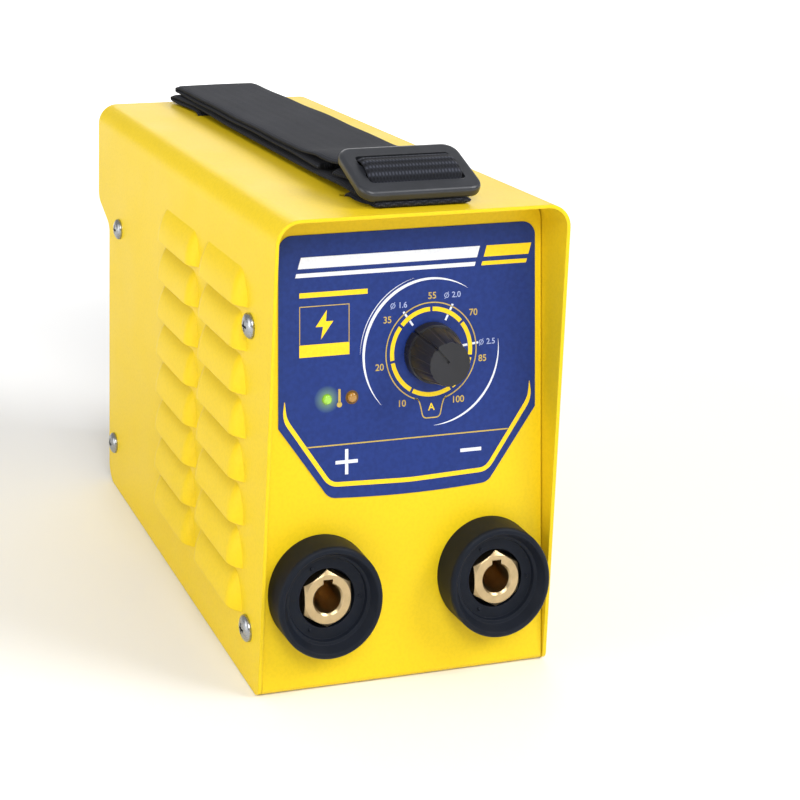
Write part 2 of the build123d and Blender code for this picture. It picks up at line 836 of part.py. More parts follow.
# ================================================================ mains switch
switch_pivot_y = rear_panel_y - 3.4
rocker_half = 11.6
rocker_width = 18.4
rocker_rest = 12.0         # the rocker rests on, pressed at the top
bezel = 2.0
switch_depth = 20.0
rocker_pivot_radius = 1.5
with BuildPart() as switch_housing:
    with BuildSketch(across(rear_panel_y)):
        with Locations((switch_x, switch_z)):
            RectangleRounded(25, 31, 2)
    extrude(amount=-bezel)
    with BuildSketch(across(rear_panel_y)):
        with Locations((switch_x, switch_z)):
            Rectangle(switch_body_width, switch_body_height)
    extrude(amount=switch_depth)
    with BuildSketch(across(rear_panel_y + bezel)):
        with Locations((switch_x, switch_z)):
            Rectangle(19, 26.8)
    extrude(amount=bezel + 9.6, mode=Mode.SUBTRACT)
    with BuildSketch(lengthwise(switch_x)):
        with Locations((switch_pivot_y, switch_z)):
            Circle(rocker_pivot_radius + 0.06)
    extrude(amount=10.7, both=True, mode=Mode.SUBTRACT)
    with BuildSketch(across(rear_panel_y - switch_depth)):
        with Locations((switch_x, switch_z)):
            with GridLocations(10, 14, 2, 2):
                Rectangle(0.8, 6.3)
    extrude(amount=9)

with BuildPart() as switch_rocker:
    with BuildSketch(lengthwise(switch_x)) as rocker_side:
        with BuildLine():
            face_y = rear_panel_y + bezel - 0.3
            tip_y = face_y + rocker_half * tan(radians(rocker_rest))
            Polyline(
                (face_y, switch_z),
                (tip_y, switch_z + rocker_half),
                (switch_pivot_y - 2, switch_z + rocker_half),
                (switch_pivot_y - 2, switch_z - rocker_half),
                (tip_y, switch_z - rocker_half),
                close=True,
            )
        make_face()
        fillet(rocker_side.vertices().group_by(Axis.X)[-1], radius=0.8)
    extrude(amount=rocker_width / 2, both=True)
    with BuildSketch(lengthwise(switch_x)):
        with Locations((switch_pivot_y, switch_z)):
            Circle(rocker_pivot_radius)
    extrude(amount=10.5, both=True)

pivot_axis = Axis((switch_x, switch_pivot_y, switch_z), (1, 0, 0))
rocker_at_rest = switch_rocker.part.rotate(pivot_axis, rocker_rest)

# ================================================================ cable gland, mains cable and plug
gland_out = 15.0
with BuildPart() as cable_gland:
    with BuildSketch(across(rear_panel_y)):
        with Locations((gland_x, gland_z)):
            RegularPolygon(10, 6, major_radius=False)
    extrude(amount=-5)
    with BuildSketch(across(rear_panel_y + 5)):
        with Locations((gland_x, gland_z)):
            Circle(9)
    extrude(amount=-(gland_out - 5), taper=12)
    with BuildSketch(across(rear_panel_y)):
        with Locations((gland_x, gland_z)):
            Circle(gland_thread_radius)
    extrude(amount=9)
    with BuildSketch(across(rear_panel_y + gland_out)):
        with Locations((gland_x, gland_z)):
            Circle(cable_radius + running_gap)
    extrude(amount=gland_out + 9, mode=Mode.SUBTRACT)

with BuildPart() as gland_nut:
    with BuildSketch(across(rear_panel_y - sheet)):
        with Locations((gland_x, gland_z)):
            RegularPolygon(11, 6, major_radius=False)
            Circle(gland_thread_radius, mode=Mode.SUBTRACT)
    extrude(amount=4.5)

plug_radius = 18.0
plug_x = -2.0
plug_y = 116.0
plug_z = 18.6
plug_body = 34.0
plug_neck = 16.0
with BuildPart() as mains_cable:
    with BuildLine() as cable_path:
        inside = Line((gland_x, rear_panel_y - 22, gland_z), (gland_x, rear_panel_y + gland_out + 1, gland_z))
        hanging = Spline(
            inside @ 1,
            (gland_x, plug_y + 1, gland_z - 22),
            (gland_x - 1, plug_y + 3, gland_z - 58),
            (gland_x + 7, plug_y + 1, plug_z + 8),
            (plug_x, plug_y, plug_z),
            tangents=((0, 1, 0), (1, 0, 0)),
        )
        Line(hanging @ 1, (plug_x + plug_neck + 4, plug_y, plug_z))
    with BuildSketch(Plane(inside @ 0, z_dir=(0, 1, 0))):
        Circle(cable_radius)
    sweep()

with BuildPart() as mains_plug:
    with BuildSketch(Plane.XY) as plug_half:
        with BuildLine():
            Polyline(
                (0, 0),
                (0, 6.5),
                (plug_neck, 8),
                (plug_neck + 3, 14),
                (plug_neck + 7, plug_radius),
                (plug_neck + plug_body - 2, plug_radius),
                (plug_neck + plug_body, plug_radius - 1),
                (plug_neck + plug_body, 0),
                close=True,
            )
        make_face()
    revolve(axis=Axis.X)
    with BuildSketch(Plane.YZ):
        Circle(cable_radius)
    extrude(amount=plug_neck + 4, mode=Mode.SUBTRACT)
    # side grooves for the socket's earth clips
    with Locations((plug_neck + plug_body, 0, 0)):
        with Locations((0, 0, plug_radius), (0, 0, -plug_radius)):
            Box(44, 6, 5, mode=Mode.SUBTRACT)

with BuildPart() as plug_pins:
    with BuildSketch(Plane.YZ.offset(plug_neck + plug_body)):
        with Locations((-9.5, 0), (9.5, 0)):
            Circle(2.4)
    extrude(amount=19)
    fillet(plug_pins.edges().group_by(Axis.X)[-1], radius=1.6)

plug_place = Location((plug_x, plug_y, plug_z))

# ================================================================ carrying strap, its brackets and its buckle
strap_bottom = body_height + strap_gap
strap_front = -95.0
strap_back = 99.0
strap_wedge = 15.0         # length over which the folded end tapers down to one layer
buckle_low_y = -94.3
buckle_low_z = body_height + 3.6
buckle_thickness = 4.0
buckle_length = 24.0
buckle_width = 42.0
buckle_corner = 5.0
buckle_bars_apart = 8.6
buckle_window = 5.2
with BuildPart() as carrying_strap:
    with BuildSketch(lengthwise(strap_x)) as strap_side:
        with BuildLine():
            shoulder = strap_front + strap_wedge
            Polyline(
                (strap_front + 3.2, strap_bottom),
                (strap_back, strap_bottom),
                (strap_back, strap_top),
                (shoulder, strap_top),
                (strap_front + 3.2, strap_bottom + 1),
                close=True,
            )
        make_face()
        fillet(strap_side.vertices().group_by(Axis.X)[-1], radius=3)
        # the webbing goes down through each slot and round a bar inside
        for slot_y in strap_slots_y:
            with Locations((slot_y, (strap_bottom + strap_bar_z) / 2)):
                Rectangle(2.6, strap_bottom - strap_bar_z + 2)
            with Locations((slot_y, strap_bar_z)):
                Circle(strap_bar_radius + 2.2)
        for slot_y in strap_slots_y:
            with Locations((slot_y, strap_bar_z)):
                Circle(strap_bar_radius + 0.2, mode=Mode.SUBTRACT)
    extrude(amount=strap_width / 2, both=True)

bracket_width = 14.0
bracket_length = 52.0
bracket_sheet = 1.2
with BuildPart() as strap_brackets:
    for slot_y in strap_slots_y:
        with Locations((strap_x, slot_y, body_height - sheet - bracket_sheet / 2)):
            Box(bracket_length, bracket_width, bracket_sheet)
            Box(strap_width + 3, 6, bracket_sheet, mode=Mode.SUBTRACT)
        for side in (-1, 1):
            ear_x = strap_x + side * (bracket_length / 2 - bracket_sheet / 2)
            with Locations((ear_x, slot_y, (body_height - sheet + strap_bar_z - 5) / 2)):
                Box(bracket_sheet, bracket_width - 2, body_height - sheet - strap_bar_z + 5)
        with BuildSketch(lengthwise(strap_x)):
            with Locations((slot_y, strap_bar_z)):
                Circle(strap_bar_radius + 0.05)
        extrude(amount=bracket_length, both=True, mode=Mode.SUBTRACT)

with BuildPart() as strap_bars:
    with BuildSketch(lengthwise(strap_x)):
        with Locations(*[(slot_y, strap_bar_z) for slot_y in strap_slots_y]):
            Circle(strap_bar_radius)
    extrude(amount=bracket_length / 2 + 1.5, both=True)

# the buckle leans back on the front of the strap
buckle_slope = radians(buckle_tilt)
buckle_middle = (
    strap_x,
    buckle_low_y + buckle_length / 2 * cos(buckle_slope),
    buckle_low_z + buckle_length / 2 * sin(buckle_slope),
)
buckle_plane = Plane(buckle_middle, x_dir=(1, 0, 0), z_dir=(0, -sin(buckle_slope), cos(buckle_slope)))
with BuildPart() as strap_buckle:
    with BuildSketch(buckle_plane):
        RectangleRounded(buckle_width, buckle_length, buckle_corner)
        with GridLocations(1, buckle_bars_apart, 1, 2):
            RectangleRounded(buckle_width - 9, buckle_window, 1.5, mode=Mode.SUBTRACT)
    extrude(amount=buckle_thickness / 2, both=True)
    flat_faces = strap_buckle.faces().sort_by(Axis((0, 0, 0), buckle_plane.z_dir))
    fillet(flat_faces[-1].outer_wire().edges() + flat_faces[0].outer_wire().edges(), radius=1.4)

# ================================================================ write every piece
pieces = {
    "cover": cover.part,
    "chassis": chassis.part,
    "front_label": front_label.part,
    "side_screws": side_screws.part,
    "socket_collar_positive": on_socket(collar.part, -socket_x),
    "socket_collar_negative": on_socket(collar.part, socket_x),
    "socket_insert_positive": on_socket(insert.part, -socket_x),
    "socket_insert_negative": on_socket(insert.part, socket_x),
    "socket_washers": socket_washers.part,
    "socket_nuts": socket_nuts.part,
    "bus_bar_positive": positive_bar.part,
    "bus_bar_negative": negative_bar.part,
    "bus_bar_screws": bus_bar_screws.part,
    "current_knob": current_knob.part,
    "knob_shaft": knob_shaft.part,
    "potentiometer": potentiometer.part,
    "potentiometer_nut": potentiometer_nut.part,
    "control_board": control_board.part,
    "power_light": power_light.part,
    "overheat_light": overheat_light.part,
    "power_board": power_board.part,
    "board_standoffs": board_standoffs.part,
    "board_screws": board_screws.part,
    "heatsink_left": heatsink_left.part,
    "heatsink_right": heatsink_right.part,
    "power_transistors": power_transistors.part,
    "output_rectifiers": output_rectifiers.part,
    "bulk_capacitors": bulk_capacitors.part,
    "transformer_core": transformer_core.part,
    "transformer_winding": transformer_winding.part,
    "choke_core": choke_core.part,
    "choke_winding": choke_winding.part,
    "input_rectifier": input_rectifier.part,
    "fan_frame": fan_frame.part,
    "fan_rotor": fan_rotor.part,
    "fan_shaft": fan_shaft.part,
    "fan_screws": fan_screws.part,
    "switch_housing": switch_housing.part,
    "switch_rocker": rocker_at_rest,
    "cable_gland": cable_gland.part,
    "gland_nut": gland_nut.part,
    "mains_cable": mains_cable.part,
    "mains_plug": plug_place * mains_plug.part,
    "plug_pins": plug_place * plug_pins.part,
    "carrying_strap": carrying_strap.part,
    "strap_buckle": strap_buckle.part,
    "strap_brackets": strap_brackets.part,
    "strap_bars": strap_bars.part,
}
for name, piece in pieces.items():
    piece.label = name
    export_step(piece, f"parts/{name}.step")
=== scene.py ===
import json
import math

import bmesh
import bpy
from mathutils import Matrix, Vector


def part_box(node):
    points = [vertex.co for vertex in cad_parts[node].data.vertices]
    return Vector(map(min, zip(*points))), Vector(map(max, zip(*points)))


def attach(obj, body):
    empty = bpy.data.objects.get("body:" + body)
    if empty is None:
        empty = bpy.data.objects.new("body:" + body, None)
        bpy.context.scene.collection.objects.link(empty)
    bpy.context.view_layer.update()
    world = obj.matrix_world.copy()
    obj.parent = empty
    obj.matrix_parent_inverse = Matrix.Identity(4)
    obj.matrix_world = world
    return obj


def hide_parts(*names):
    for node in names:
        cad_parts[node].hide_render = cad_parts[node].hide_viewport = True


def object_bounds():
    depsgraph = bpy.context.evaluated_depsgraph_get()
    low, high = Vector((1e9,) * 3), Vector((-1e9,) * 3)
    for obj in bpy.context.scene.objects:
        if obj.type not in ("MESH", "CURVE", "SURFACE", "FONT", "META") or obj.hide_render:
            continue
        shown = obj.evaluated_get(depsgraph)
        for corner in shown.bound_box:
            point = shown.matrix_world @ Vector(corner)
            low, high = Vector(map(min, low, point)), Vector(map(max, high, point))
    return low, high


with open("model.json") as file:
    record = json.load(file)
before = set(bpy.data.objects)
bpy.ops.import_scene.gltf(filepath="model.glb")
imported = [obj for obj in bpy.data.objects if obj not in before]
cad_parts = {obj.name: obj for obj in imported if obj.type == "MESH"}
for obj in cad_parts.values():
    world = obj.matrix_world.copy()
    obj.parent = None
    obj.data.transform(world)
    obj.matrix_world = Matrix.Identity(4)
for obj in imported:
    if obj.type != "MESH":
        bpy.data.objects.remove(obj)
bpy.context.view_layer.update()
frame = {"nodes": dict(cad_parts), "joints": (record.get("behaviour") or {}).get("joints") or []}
nodes = frame["nodes"]
joints = {joint["name"]: joint for joint in frame["joints"]}
MM = 0.001

# ------------------------------------------------------------------ places read from the frame
case_low, case_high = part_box("cover")
label_low, label_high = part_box("front_label")
label_y = label_low.y
dial = Vector(joints["current_dial"]["pos_m"])
power_low, power_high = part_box("power_light")
heat_low, heat_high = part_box("overheat_light")
strap_low, strap_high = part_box("carrying_strap")
strap_x = (strap_low.x + strap_high.x) / 2
strap_width = strap_high.x - strap_low.x
bar_low, bar_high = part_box("strap_bars")
buckle_low, buckle_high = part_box("strap_buckle")


# ------------------------------------------------------------------ material tools
class Nodes:
    """Short calls for building one material's node tree."""

    def __init__(self, name):
        self.material = bpy.data.materials.new(name)
        self.material.use_nodes = True
        self.tree = self.material.node_tree
        self.shader = self.tree.nodes["Principled BSDF"]

    def add(self, kind, **settings):
        node = self.tree.nodes.new(kind)
        for key, value in settings.items():
            setattr(node, key, value)
        return node

    def link(self, source, target):
        self.tree.links.new(source, target)

    def set(self, **values):
        for key, value in values.items():
            self.shader.inputs[key.replace("_", " ")].default_value = value

    def coordinates(self, scale=(1, 1, 1), kind="Object"):
        texture = self.add("ShaderNodeTexCoord")
        mapping = self.add("ShaderNodeMapping")
        mapping.inputs["Scale"].default_value = scale
        self.link(texture.outputs[kind], mapping.inputs["Vector"])
        return mapping.outputs["Vector"]

    def noise(self, scale, detail=3.0, roughness=0.5, stretch=(1, 1, 1)):
        node = self.add("ShaderNodeTexNoise")
        node.inputs["Scale"].default_value = scale
        node.inputs["Detail"].default_value = detail
        node.inputs["Roughness"].default_value = roughness
        self.link(self.coordinates(stretch), node.inputs["Vector"])
        return node.outputs["Fac"]

    def ramp(self, factor, stops):
        node = self.add("ShaderNodeValToRGB")
        ramp = node.color_ramp
        while len(ramp.elements) < len(stops):
            ramp.elements.new(0.5)
        for element, (place, colour) in zip(ramp.elements, stops):
            element.position = place
            element.color = colour if len(colour) == 4 else (*colour, 1)
        self.link(factor, node.inputs["Fac"])
        return node.outputs["Color"]

    def maths(self, operation, first, second=0.0, clamp=False):
        node = self.add("ShaderNodeMath", operation=operation, use_clamp=clamp)
        for socket, value in zip(node.inputs, (first, second)):
            if isinstance(value, (int, float)):
                socket.default_value = value
            else:
                self.link(value, socket)
        return node.outputs["Value"]

    def mix(self, factor, first, second, blend="MIX"):
        node = self.add("ShaderNodeMix", data_type="RGBA", blend_type=blend)
        for index, value in ((0, factor), (6, first), (7, second)):
            if isinstance(value, (int, float)):
                node.inputs[index].default_value = value
            elif isinstance(value, tuple):
                node.inputs[index].default_value = (*value, 1)
            else:
                self.link(value, node.inputs[index])
        return node.outputs[2]

    def bump(self, height, distance, strength=1.0, under=None):
        node = self.add("ShaderNodeBump")
        node.inputs["Distance"].default_value = distance
        node.inputs["Strength"].default_value = strength
        self.link(height, node.inputs["Height"])
        if under is not None:
            self.link(under, node.inputs["Normal"])
        return node.outputs["Normal"]

    def round_edges(self, radius):
        node = self.add("ShaderNodeBevel", samples=4)
        node.inputs["Radius"].default_value = radius
        return node.outputs["Normal"]

    def edge_mask(self, radius):
        """1 on sharp edges, 0 on flat surfaces."""
        bevel = self.add("ShaderNodeBevel", samples=4)
        bevel.inputs["Radius"].default_value = radius
        geometry = self.add("ShaderNodeNewGeometry")
        dot = self.add("ShaderNodeVectorMath", operation="DOT_PRODUCT")
        self.link(bevel.outputs["Normal"], dot.inputs[0])
        self.link(geometry.outputs["Normal"], dot.inputs[1])
        return self.maths("MULTIPLY", self.maths("SUBTRACT", 1.0, dot.outputs["Value"]), 4.0, clamp=True)


def shade(colour, factor):
    return tuple(channel * factor for channel in colour)


def yellow_powder_coat():
    """Glossy yellow powder coat: orange-peel surface, soft edges and a painted highlight along edges and
    corners.
    """
    m = Nodes("yellow_powder_coat")
    yellow = (0.86, 0.61, 0.014)
    drift = m.noise(9.0, 2.0)
    coat = m.ramp(drift, [(0.3, shade(yellow, 0.965)), (0.7, yellow)])
    specks = m.ramp(m.noise(900.0, 2.0), [(0.44, (0.9, 0.9, 0.9)), (0.52, (1, 1, 1))])
    coat = m.mix(0.35, coat, specks, "MULTIPLY")
    # painted highlight: a lighter yellow along sharp edges and corners
    lighter_edges = m.maths("MULTIPLY", m.edge_mask(0.5 * MM), 0.32)
    m.link(m.mix(lighter_edges, coat, (1.0, 0.78, 0.08)), m.shader.inputs["Base Color"])
    peel = m.bump(m.noise(620.0, 2.0, 0.4), 0.03 * MM, 0.32, m.round_edges(0.55 * MM))
    m.link(m.bump(m.noise(60.0, 1.0), 0.12 * MM, 0.12, peel), m.shader.inputs["Normal"])
    gloss = m.ramp(m.noise(40.0, 3.0), [(0.3, (0.36,) * 3), (0.7, (0.44,) * 3)])
    m.link(gloss, m.shader.inputs["Roughness"])
    m.set(Coat_Weight=0.04, Coat_Roughness=0.2, Specular_IOR_Level=0.13)
    return m.material


def blue_printed_film():
    """Blue printed film with a satin laminate, with the power light's glow painted on it as emission."""
    m = Nodes("blue_printed_film")
    blue = (0.013, 0.034, 0.185)
    ink = m.ramp(m.noise(700.0, 2.0), [(0.35, shade(blue, 0.9)), (0.65, shade(blue, 1.06))])
    m.link(ink, m.shader.inputs["Base Color"])
    m.link(m.bump(m.noise(1500.0, 2.0), 0.01 * MM, 0.4), m.shader.inputs["Normal"])
    m.set(Roughness=0.5, Specular_IOR_Level=0.22)
    # painted glow: the film itself emits green light, strongest next to the power light
    light = (power_low + power_high) / 2
    place = m.add("ShaderNodeTexCoord")
    offset = m.add("ShaderNodeVectorMath", operation="DISTANCE")
    m.link(place.outputs["Object"], offset.inputs[0])
    offset.inputs[1].default_value = (light.x, label_y, light.z)
    near = m.maths("DIVIDE", offset.outputs["Value"], 4.4 * MM)
    glow = m.ramp(near, [(0.3, (0.5,) * 3), (0.6, (0.24,) * 3), (1.0, (0,) * 3)])
    m.shader.inputs["Emission Color"].default_value = (0.4, 0.66, 0.02, 1)
    m.link(glow, m.shader.inputs["Emission Strength"])
    return m.material


def printed_ink(name, colour):
    """One printed colour on the label."""
    m = Nodes(name)
    print_tone = m.ramp(m.noise(1400.0, 2.0), [(0.35, shade(colour, 0.92)), (0.65, colour)])
    m.link(print_tone, m.shader.inputs["Base Color"])
    m.link(m.bump(m.noise(1500.0, 2.0), 0.01 * MM, 0.4), m.shader.inputs["Normal"])
    m.set(Roughness=0.5, Specular_IOR_Level=0.22)
    return m.material


def moulded_plastic(name, colour, roughness=0.42, grain=0.03, edge=0.25 * MM, shine=0.5):
    """Injection-moulded plastic: fine eroded grain, softened edges, paler where rubbed."""
    m = Nodes(name)
    tone = m.ramp(m.noise(160.0, 4.0), [(0.3, shade(colour, 0.85)), (0.7, shade(colour, 1.12))])
    rubbed = m.maths("MULTIPLY", m.edge_mask(edge * 1.5), 0.35)
    worn_colour = tuple(0.04 + 1.3 * channel for channel in colour)
    m.link(m.mix(rubbed, tone, worn_colour), m.shader.inputs["Base Color"])
    sheen = m.ramp(m.noise(90.0, 3.0), [(0.3, (roughness * 0.88,) * 3), (0.7, (roughness * 1.12,) * 3)])
    m.link(sheen, m.shader.inputs["Roughness"])
    normal = m.bump(m.noise(2600.0, 2.0), grain * MM, 0.6, m.round_edges(edge))
    m.link(normal, m.shader.inputs["Normal"])
    m.set(Specular_IOR_Level=shine)
    return m.material


def bare_metal(name, colour, roughness=0.28, marks=(900, 60, 900), edge=0.2 * MM):
    """Machined or drawn metal: fine directional marks and brighter edges."""
    m = Nodes(name)
    grain = m.noise(1.0, 3.0, 0.6, marks)
    tone = m.ramp(grain, [(0.3, shade(colour, 0.86)), (0.7, colour)])
    lighter_edges = m.maths("MULTIPLY", m.edge_mask(edge), 0.5)
    bright = tuple(min(1.0, channel * 1.15) for channel in colour)
    m.link(m.mix(lighter_edges, tone, bright), m.shader.inputs["Base Color"])
    sheen = m.ramp(grain, [(0.3, (roughness * 1.25,) * 3), (0.7, (roughness * 0.8,) * 3)])
    m.link(sheen, m.shader.inputs["Roughness"])
    m.link(m.bump(grain, 0.02 * MM, 0.5, m.round_edges(edge)), m.shader.inputs["Normal"])
    m.set(Metallic=1.0)
    return m.material


def turned_brass():
    """Bright turned brass with fine rings round each socket's axis."""
    m = Nodes("turned_brass")
    texture = m.add("ShaderNodeTexCoord")
    split = m.add("ShaderNodeSeparateXYZ")
    m.link(texture.outputs["Object"], split.inputs[0])
    insert_low, insert_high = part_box("socket_insert_negative")
    axis = (insert_low + insert_high) / 2
    across = m.maths("SUBTRACT", m.maths("ABSOLUTE", split.outputs["X"]), abs(axis.x))
    upward = m.maths("SUBTRACT", split.outputs["Z"], axis.z)
    squares = m.maths("ADD", m.maths("MULTIPLY", across, across), m.maths("MULTIPLY", upward, upward))
    rings = m.maths("SINE", m.maths("MULTIPLY", m.maths("SQRT", squares), 32000.0))
    brass = (0.64, 0.48, 0.26)
    tone = m.ramp(m.noise(300.0, 4.0), [(0.3, shade(brass, 0.82)), (0.7, brass)])
    lighter_edges = m.maths("MULTIPLY", m.edge_mask(0.25 * MM), 0.6)
    m.link(m.mix(lighter_edges, tone, (0.93, 0.82, 0.6)), m.shader.inputs["Base Color"])
    m.link(m.bump(rings, 0.006 * MM, 0.5, m.round_edges(0.3 * MM)), m.shader.inputs["Normal"])
    m.set(Metallic=1.0, Roughness=0.3)
    return m.material


def indicator_lens(name, colour, glow):
    """Tinted clear lens with a lit chip behind it."""
    m = Nodes(name)
    tint = m.ramp(m.noise(600.0), [(0.3, shade(colour, 0.8)), (0.7, colour)])
    m.link(tint, m.shader.inputs["Base Color"])
    facing = m.add("ShaderNodeLayerWeight")
    core = m.ramp(facing.outputs["Facing"], [(0.0, (glow,) * 3), (0.6, (glow * 0.45,) * 3)])
    m.link(core, m.shader.inputs["Emission Strength"])
    m.shader.inputs["Emission Color"].default_value = (*colour, 1)
    m.set(Roughness=0.12, Coat_Weight=1.0, Coat_Roughness=0.05, Transmission_Weight=0.15)
    return m.material


def circuit_board():
    """Green solder mask with darker etched tracks under it."""
    m = Nodes("circuit_board")
    cells = m.add("ShaderNodeTexBrick")
    cells.inputs["Scale"].default_value = 1.0
    m.link(m.coordinates((260, 260, 260)), cells.inputs["Vector"])
    cells.inputs["Color1"].default_value = (0.01, 0.13, 0.045, 1)
    cells.inputs["Color2"].default_value = (0.012, 0.17, 0.06, 1)
    cells.inputs["Mortar"].default_value = (0.02, 0.26, 0.1, 1)
    m.link(cells.outputs["Color"], m.shader.inputs["Base Color"])
    m.link(m.bump(cells.outputs["Fac"], 0.03 * MM, 0.5), m.shader.inputs["Normal"])
    m.set(Roughness=0.35)
    return m.material


def wound_tape(name, colour, turns):
    """Windings or tape: fine parallel turns round the coil, with painted shade between the turns."""
    m = Nodes(name)
    wave = m.add("ShaderNodeTexWave", bands_direction="Z")
    wave.inputs["Scale"].default_value = turns
    wave.inputs["Distortion"].default_value = 0.4
    m.link(m.coordinates(), wave.inputs["Vector"])
    # painted shade: darker in the grooves between the turns
    turns_with_painted_shade = m.ramp(wave.outputs["Fac"], [(0.1, shade(colour, 0.55)), (0.6, colour)])
    m.link(turns_with_painted_shade, m.shader.inputs["Base Color"])
    m.link(m.bump(wave.outputs["Fac"], 0.2 * MM, 0.7), m.shader.inputs["Normal"])
    m.set(Roughness=0.38)
    return m.material


def woven_webbing(name, tone):
    """Woven strap: fine cross ribs in a shallow herringbone, and coarse dotted ribs where it is
    pulled over the buckle's bar. Its colour follows the rib height: painted shade in the grooves
    and a painted highlight on the raised yarns, with random fibre tone."""
    m = Nodes(name)
    texture = m.add("ShaderNodeTexCoord")
    split = m.add("ShaderNodeSeparateXYZ")
    m.link(texture.outputs["UV"], split.inputs[0])
    along = split.outputs["X"]
    across = split.outputs["Y"]

    def waves(distance, spacing):
        return m.maths("SINE", m.maths("MULTIPLY", distance, 2 * math.pi / spacing))

    lean = m.maths("ADD", along, m.maths("MULTIPLY", m.maths("PINGPONG", across, 2.3 * MM), 0.35))
    fine = m.maths("MULTIPLY", waves(lean, 1.15 * MM), 0.3)
    fine = m.maths("ADD", fine, m.maths("MULTIPLY", waves(across, 0.9 * MM), 0.18))
    dots = m.maths("ADD", m.maths("MULTIPLY", waves(across, 1.3 * MM), 0.45), 0.55)
    coarse = m.maths("MULTIPLY", m.maths("MULTIPLY", waves(along, 2.5 * MM), dots), 0.62)
    place = m.add("ShaderNodeSeparateXYZ")
    m.link(texture.outputs["Object"], place.inputs[0])
    behind = m.maths("SUBTRACT", place.outputs["Y"], buckle_high.y - 6 * MM)
    at_buckle = m.maths("SUBTRACT", 1.0, m.maths("DIVIDE", behind, 4 * MM, clamp=True))
    above = m.maths("DIVIDE", m.maths("SUBTRACT", place.outputs["Z"], buckle_low.z), 2 * MM, clamp=True)
    at_buckle = m.maths("MULTIPLY", at_buckle, above)
    weave = m.maths("ADD", fine, m.maths("MULTIPLY", at_buckle, m.maths("SUBTRACT", coarse, fine)))
    height = m.maths("ADD", m.maths("ADD", weave, 0.35), m.maths("MULTIPLY", m.noise(1600.0, 3.0), 0.3))
    # painted shade and highlight: darker in the grooves, paler on the raised yarns, plus random fibre
    # tone
    fibre_tone_and_painted_shade = m.ramp(height, [(0.2, shade(tone, 0.5)), (0.6, tone), (1.0, shade(tone, 2.6))])
    dusty = m.ramp(m.noise(70.0, 4.0, 0.6, (1, 0.3, 1)), [(0.3, (0.8,) * 3), (0.7, (1.15,) * 3)])
    m.link(m.mix(1.0, fibre_tone_and_painted_shade, dusty, "MULTIPLY"), m.shader.inputs["Base Color"])
    m.link(m.bump(height, 0.3 * MM, 0.8), m.shader.inputs["Normal"])
    m.set(Roughness=0.8, Sheen_Weight=0.04, Sheen_Roughness=0.5, Specular_IOR_Level=0.15)
    return m.material


# ------------------------------------------------------------------ CAD nodes get their materials
def dress(material, *names):
    for name in names:
        nodes[name].data.materials.clear()
        nodes[name].data.materials.append(material)


yellow = yellow_powder_coat()
zinc = bare_metal("zinc_plate", (0.4, 0.41, 0.42), 0.28, (500, 500, 500))
steel = bare_metal("plain_steel", (0.5, 0.5, 0.52), 0.34)
dress(yellow, "cover", "chassis")
dress(blue_printed_film(), "front_label")
dress(zinc, "side_screws", "fan_screws", "board_screws", "bus_bar_screws", "potentiometer_nut")
dress(steel, "knob_shaft", "fan_shaft", "potentiometer", "board_standoffs")
dress(steel, "strap_brackets", "strap_bars")
socket_black = moulded_plastic("socket_moulding", (0.006, 0.0085, 0.015), 0.5, shine=0.16)
dress(socket_black, "socket_collar_positive", "socket_collar_negative")
dress(turned_brass(), "socket_insert_positive", "socket_insert_negative", "socket_nuts")
dress(bare_metal("copper_bar", (0.72, 0.36, 0.2), 0.32), "bus_bar_positive", "bus_bar_negative")
dress(moulded_plastic("knob_moulding", (0.014, 0.014, 0.017), 0.3, 0.015, shine=0.4), "current_knob")
dress(indicator_lens("green_lens", (0.25, 0.5, 0.03), 0.6), "power_light")
dress(indicator_lens("amber_lens", (0.42, 0.2, 0.02), 0.3), "overheat_light")
dress(circuit_board(), "control_board", "power_board")
aluminium = bare_metal("extruded_aluminium", (0.68, 0.69, 0.7), 0.36, (900, 20, 900))
dress(aluminium, "heatsink_left", "heatsink_right")
epoxy = moulded_plastic("moulded_epoxy", (0.014, 0.014, 0.014), 0.5)
dress(epoxy, "power_transistors", "output_rectifiers", "input_rectifier")
dress(moulded_plastic("shrink_sleeve", (0.015, 0.02, 0.05), 0.25), "bulk_capacitors")
ferrite = moulded_plastic("sintered_ferrite", (0.03, 0.03, 0.033), 0.55, 0.08)
dress(ferrite, "transformer_core", "choke_core")
dress(wound_tape("winding_tape", (0.6, 0.4, 0.05), 90.0), "transformer_winding")
dress(wound_tape("enamelled_copper", (0.5, 0.2, 0.06), 160.0), "choke_winding")
nylon = moulded_plastic("moulded_nylon", (0.02, 0.02, 0.022), 0.48)
dress(nylon, "socket_washers", "cable_gland", "gland_nut", "fan_frame", "fan_rotor", "switch_housing")
dress(moulded_plastic("rocker_moulding", (0.012, 0.012, 0.014), 0.22, 0.01), "switch_rocker")
rubber = moulded_plastic("rubber_jacket", (0.018, 0.018, 0.018), 0.58, 0.05)
dress(rubber, "mains_cable", "mains_plug")
dress(bare_metal("nickel_pin", (0.75, 0.73, 0.68), 0.2), "plug_pins")
buckle_black = moulded_plastic("buckle_moulding", (0.026, 0.028, 0.034), 0.34, 0.02, 0.4 * MM)
dress(buckle_black, "strap_buckle")

yellow_ink = printed_ink("yellow_ink", (0.95, 0.66, 0.02))
pale_yellow_ink = printed_ink("pale_yellow_ink", (0.56, 0.4, 0.09))
white_ink = printed_ink("white_ink", (0.8, 0.83, 0.9))
lilac_ink = printed_ink("lilac_ink", (0.36, 0.42, 0.66))
brown_ink = printed_ink("brown_ink", (0.16, 0.08, 0.015))
strap_cloth = woven_webbing("strap_webbing", (0.019, 0.0205, 0.027))


